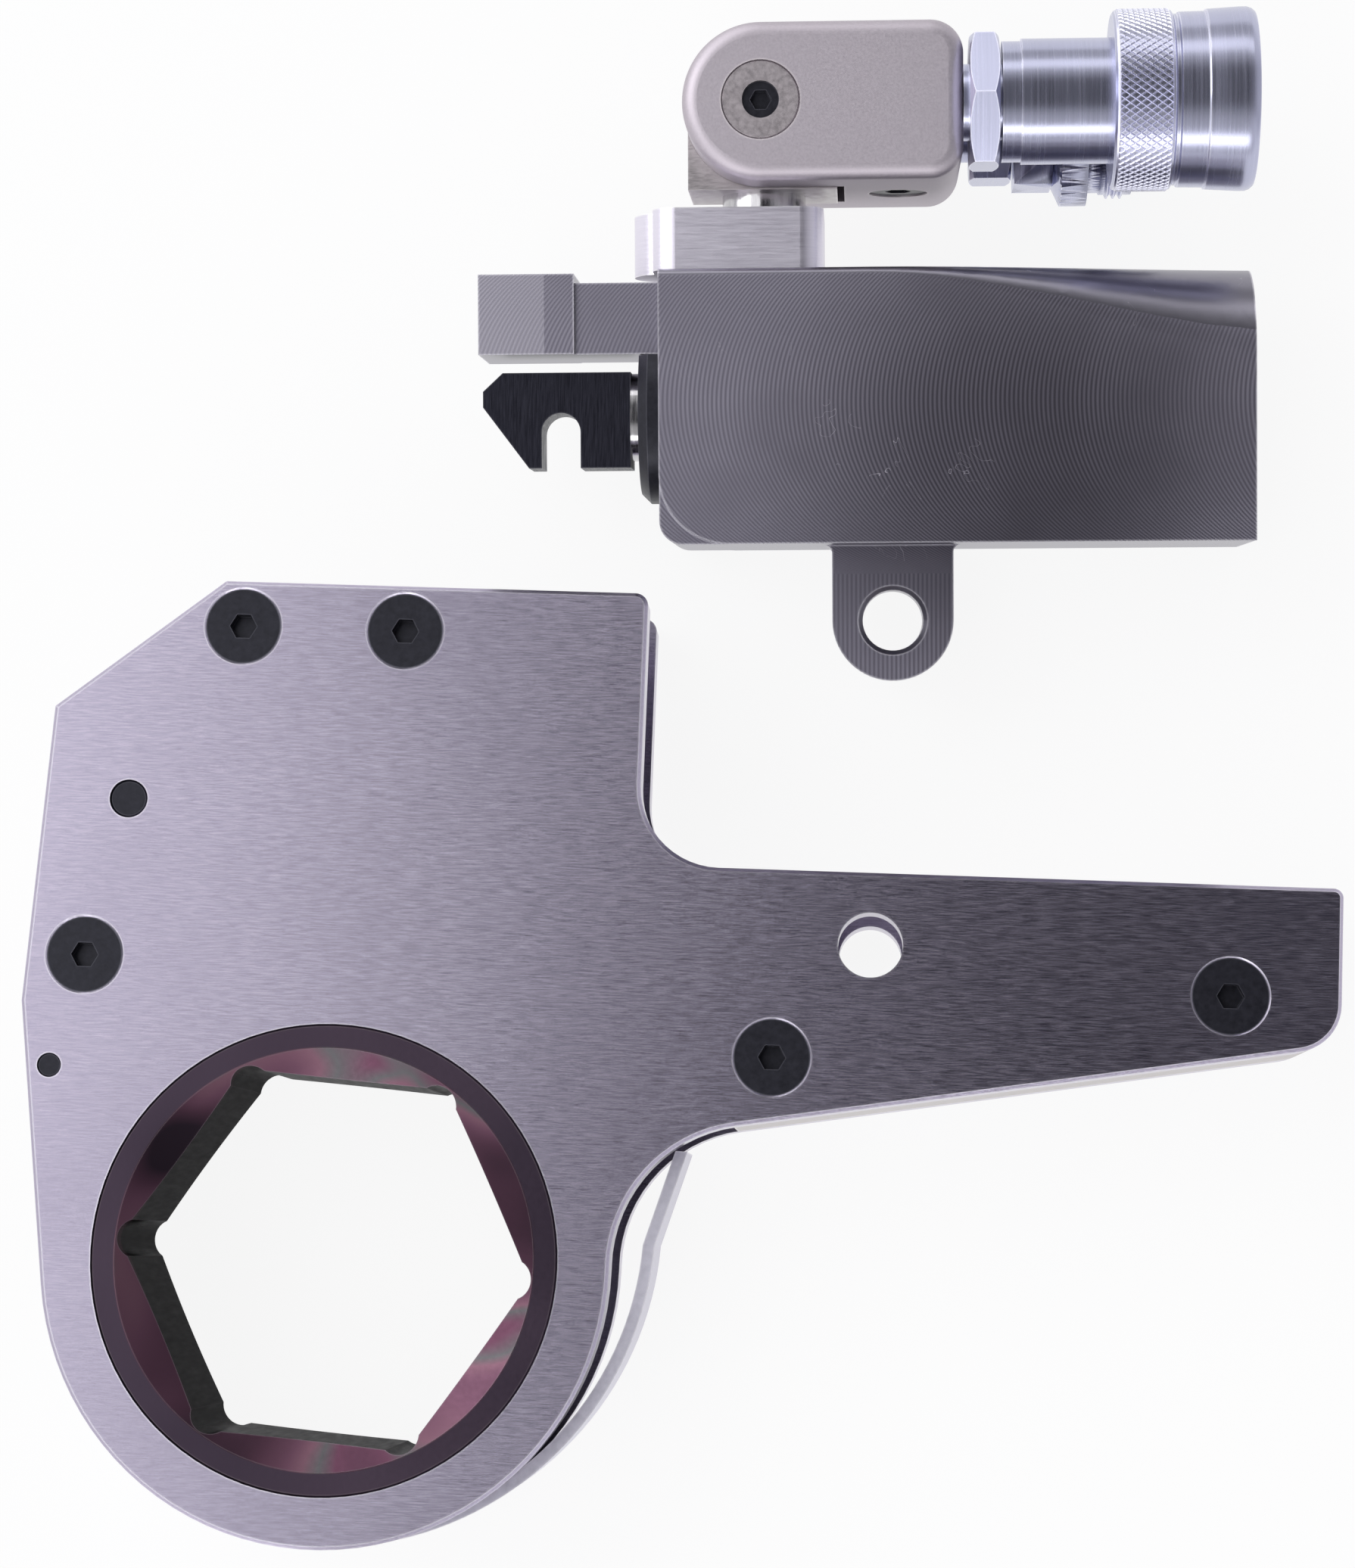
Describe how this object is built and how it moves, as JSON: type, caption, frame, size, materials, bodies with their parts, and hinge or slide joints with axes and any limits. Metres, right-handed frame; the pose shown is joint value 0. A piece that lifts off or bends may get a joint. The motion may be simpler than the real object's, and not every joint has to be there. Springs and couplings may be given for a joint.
{
  "type": "hydraulic torque wrench",
  "caption": "Low-profile hydraulic torque wrench in its two units: a ratchet link with hex socket and reaction arm, and a power head with swivel and quick couplers.",
  "frame": {"origin": "on the ratchet's axis at the link's back face, the face it lies on", "axes": "+X along the reaction arm, +Y up the link towards the power head, +Z along the ratchet's axis out of the front face"},
  "size_m": [0.2757, 0.3309, 0.0721],
  "materials": {
    "plate_nickel": "brushed nickel-plated steel, satin",
    "spacer_steel": "milled nickel-plated steel",
    "guard_steel": "rolled sheet steel, nickel-plated",
    "black_oxide": "black oxide on alloy steel",
    "ratchet_steel": "hardened steel, black with heat-tint colours",
    "lever_steel": "ground alloy steel",
    "body_steel": "milled nickel-plated alloy steel",
    "rod_chrome": "hard-chromed and polished",
    "gland_bronze": "turned bronze",
    "seal_rubber": "moulded polyurethane seal",
    "swivel_nickel": "bead-blasted nickel plate, champagne grey",
    "bright_zinc": "bright zinc-plated turned steel"
  },
  "bodies": {
    "link": {"side_plate_back": "plate_nickel", "side_plate_front": "plate_nickel", "arm_spacer": "spacer_steel", "top_spacer": "spacer_steel", "side_spacer": "spacer_steel", "guard_shroud": "guard_steel", "plate_screws_front": "black_oxide", "plate_screws_back": "black_oxide", "dowel_pin": "black_oxide", "reaction_pawl_pin": "black_oxide"},
    "ratchet": {"ratchet_wheel": "ratchet_steel"},
    "lever": {"drive_plate_back": "lever_steel", "drive_plate_front": "lever_steel", "drive_pin": "lever_steel", "drive_pawl_pin": "lever_steel"},
    "drive_pawl_body": {"drive_pawl": "ratchet_steel"},
    "reaction_pawl_body": {"reaction_pawl": "ratchet_steel"},
    "head": {"cylinder_body": "body_steel", "end_cap": "lever_steel", "rod_gland": "gland_bronze", "gland_keeper": "black_oxide", "rod_seal": "seal_rubber", "swivel_base": "swivel_nickel"},
    "ram": {"piston": "lever_steel", "piston_seal": "seal_rubber", "piston_rod": "rod_chrome", "drive_hook": "black_oxide"},
    "swivel": {"swivel_post": "rod_chrome", "knuckle": "swivel_nickel"},
    "manifold_body": {"manifold": "swivel_nickel", "pivot_spindle": "rod_chrome", "pivot_disc_front": "swivel_nickel", "pivot_disc_back": "swivel_nickel", "disc_screw_front": "black_oxide", "disc_screw_back": "black_oxide", "port_plug": "black_oxide", "socket_adapter": "bright_zinc", "socket_coupler_body": "bright_zinc", "plug_adapter": "bright_zinc", "plug_coupler_body": "bright_zinc"},
    "sleeve_body": {"coupler_sleeve": "bright_zinc"},
    "socket_valve_body": {"socket_valve": "bright_zinc"},
    "plug_valve_body": {"plug_valve": "bright_zinc"}
  },
  "joints": [
    {"name": "ratchet_spin", "type": "hinge", "parent": "link", "child": "ratchet", "pos_m": [0, 0, 0.021], "axis": [0, 0, 1], "continuous": true},
    {"name": "lever_swing", "type": "hinge", "parent": "link", "child": "lever", "pos_m": [0, 0, 0.021], "axis": [0, 0, 1], "range_deg": [0, 23]},
    {"name": "drive_pawl_swing", "type": "hinge", "parent": "lever", "child": "drive_pawl_body", "pos_m": [0.03587, 0.07039, 0.021], "axis": [0, 0, 1], "range_deg": [-8, 0]},
    {"name": "reaction_pawl_swing", "type": "hinge", "parent": "link", "child": "reaction_pawl_body", "pos_m": [-0.0599, 0.0381, 0.021], "axis": [0, 0, 1], "range_deg": [-6, 0]},
    {"name": "head_lift", "type": "slide", "parent": "link", "child": "head", "axis": [0, 0, 1], "range_m": [0, 0.15]},
    {"name": "ram_stroke", "type": "slide", "parent": "head", "child": "ram", "axis": [-0.9993, -0.0366, 0], "range_m": [0, 0.046]},
    {"name": "swivel_turn", "type": "hinge", "parent": "head", "child": "swivel", "pos_m": [0.08314, 0.22757, 0.03187], "axis": [-0.0362, 0.9872, 0.1556], "continuous": true},
    {"name": "manifold_tilt", "type": "hinge", "parent": "swivel", "child": "manifold_body", "pos_m": [0.08237, 0.24859, 0.03518], "axis": [0.0057, -0.1555, 0.9878], "range_deg": [0, 180]},
    {"name": "sleeve_spin", "type": "hinge", "parent": "manifold_body", "child": "sleeve_body", "pos_m": [0.18571, 0.24958, 0.05296], "axis": [0.9993, 0.0366, 0], "continuous": true},
    {"name": "socket_valve_slide", "type": "slide", "parent": "manifold_body", "child": "socket_valve_body", "axis": [-0.9993, -0.0366, 0], "range_m": [0, 0.004]},
    {"name": "plug_valve_slide", "type": "slide", "parent": "manifold_body", "child": "plug_valve_body", "axis": [-0.9993, -0.0366, 0], "range_m": [0, 0.004]}
  ]
}
